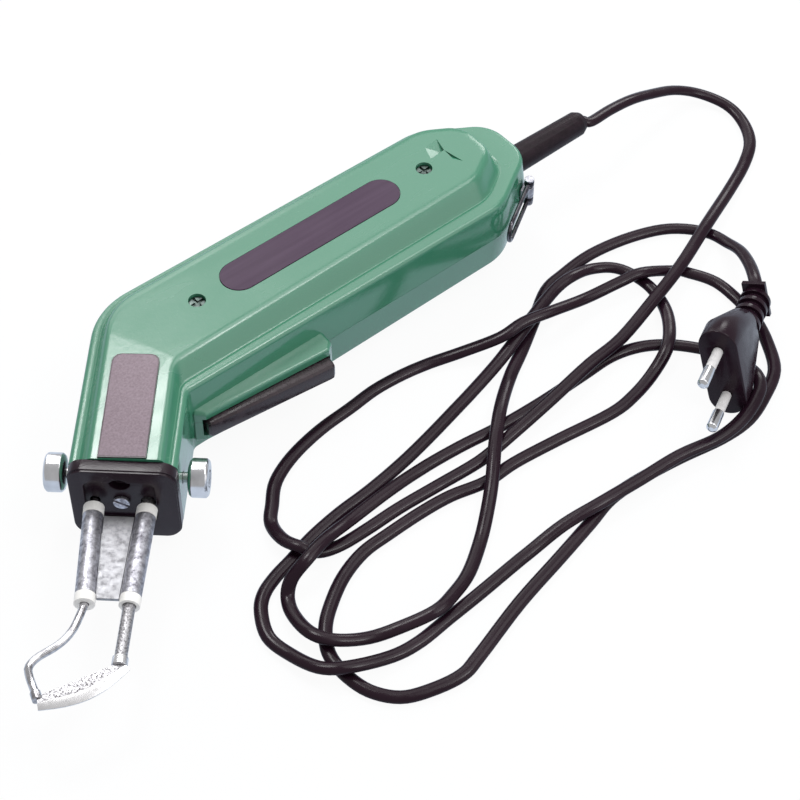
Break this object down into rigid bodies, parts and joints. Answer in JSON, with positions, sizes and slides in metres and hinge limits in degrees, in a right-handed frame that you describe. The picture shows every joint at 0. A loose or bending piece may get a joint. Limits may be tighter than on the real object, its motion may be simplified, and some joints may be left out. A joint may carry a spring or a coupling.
{
  "type": "electric hot knife",
  "caption": "Hand-held electric hot knife with a bent green housing, a lever switch, a heated wire-leg blade and a two-pin mains lead.",
  "frame": {"origin": "on the flat side that the tool lies on, where the handle's centre line turns into the nose", "axes": "+X along the handle towards the lead, +Z from the side it lies on to the label side, so +Y is the back of the handle and the lever faces -Y"},
  "size_m": [0.366, 0.1761, 0.043],
  "materials": {
    "housing_green": "hard green moulding with a soft sheen",
    "label_dark": "dark satin plate",
    "label_grey": "grey satin plate",
    "black_plastic": "black heat resistant moulding",
    "black_rubber": "black cable sheath",
    "chrome": "plated and polished",
    "steel": "bright drawn steel",
    "blade_steel": "bright heater strip",
    "ceramic": "white ceramic",
    "sleeve_white": "pale pin sleeve",
    "copper": "bare copper strap and enamelled wire",
    "brass": "turned brass",
    "core_iron": "varnished laminations"
  },
  "bodies": {
    "housing": {"upper_shell": "housing_green", "lower_shell": "housing_green", "housing_screws": "steel", "name_plate": "label_dark", "nose_plate": "label_grey", "nose_block": "black_plastic", "nose_screw": "steel", "trigger_pin": "steel", "switch_body": "black_plastic", "transformer_core": "core_iron", "primary_coil": "copper", "secondary_strap_outer": "copper", "secondary_strap_inner": "copper", "terminal_outer": "brass", "terminal_inner": "brass", "knob_washer": "black_plastic", "bail_bracket": "steel", "cord_boot": "black_rubber", "cord_clamp": "black_plastic", "power_cord": "black_rubber", "plug_body": "black_rubber", "plug_grip": "black_rubber", "plug_pins": "chrome", "plug_sleeves": "sleeve_white"},
    "trigger": {"trigger_lever": "black_plastic"},
    "plunger": {"switch_plunger": "black_plastic"},
    "bail": {"hanger_bail": "steel"},
    "clamp_outer": {"clamp_knob_outer": "chrome"},
    "clamp_inner": {"clamp_knob_inner": "chrome"},
    "cartridge": {"guard_tube_outer": "steel", "guard_tube_inner": "steel", "tube_bushes": "ceramic", "web_plate": "steel", "blade_leg_outer": "blade_steel", "blade_leg_inner": "blade_steel", "cutting_blade": "blade_steel"}
  },
  "joints": [
    {"name": "trigger_press", "type": "hinge", "parent": "housing", "child": "trigger", "pos_m": [0.00958, -0.02632, 0.0185], "axis": [0, 0, 1], "range_deg": [0, 5], "stiffness_Nm_per_rad": 0.5, "springref_deg": -5.73},
    {"name": "switch_travel", "type": "slide", "parent": "housing", "child": "plunger", "axis": [0, 1, 0], "range_m": [0, 0.003]},
    {"name": "bail_swing", "type": "hinge", "parent": "housing", "child": "bail", "pos_m": [0.15751, -0.017, 0.0236], "axis": [0, 0, 1], "range_deg": [0, 100]},
    {"name": "clamp_outer_turn", "type": "hinge", "parent": "housing", "child": "clamp_outer", "pos_m": [-0.0277, -0.03023, 0.021], "axis": [-0.7373, 0.6756, 0], "range_deg": [0, 360]},
    {"name": "clamp_inner_turn", "type": "hinge", "parent": "housing", "child": "clamp_inner", "pos_m": [-0.0277, -0.03023, 0.021], "axis": [0.7373, -0.6756, 0], "range_deg": [0, 360]},
    {"name": "cartridge_pull", "type": "slide", "parent": "housing", "child": "cartridge", "axis": [-0.6756, -0.7373, 0], "range_m": [0, 0.02]}
  ],
  "couplings": [
    {"joint": "switch_travel", "follows": "trigger_press", "m_per_rad": 0.031}
  ]
}
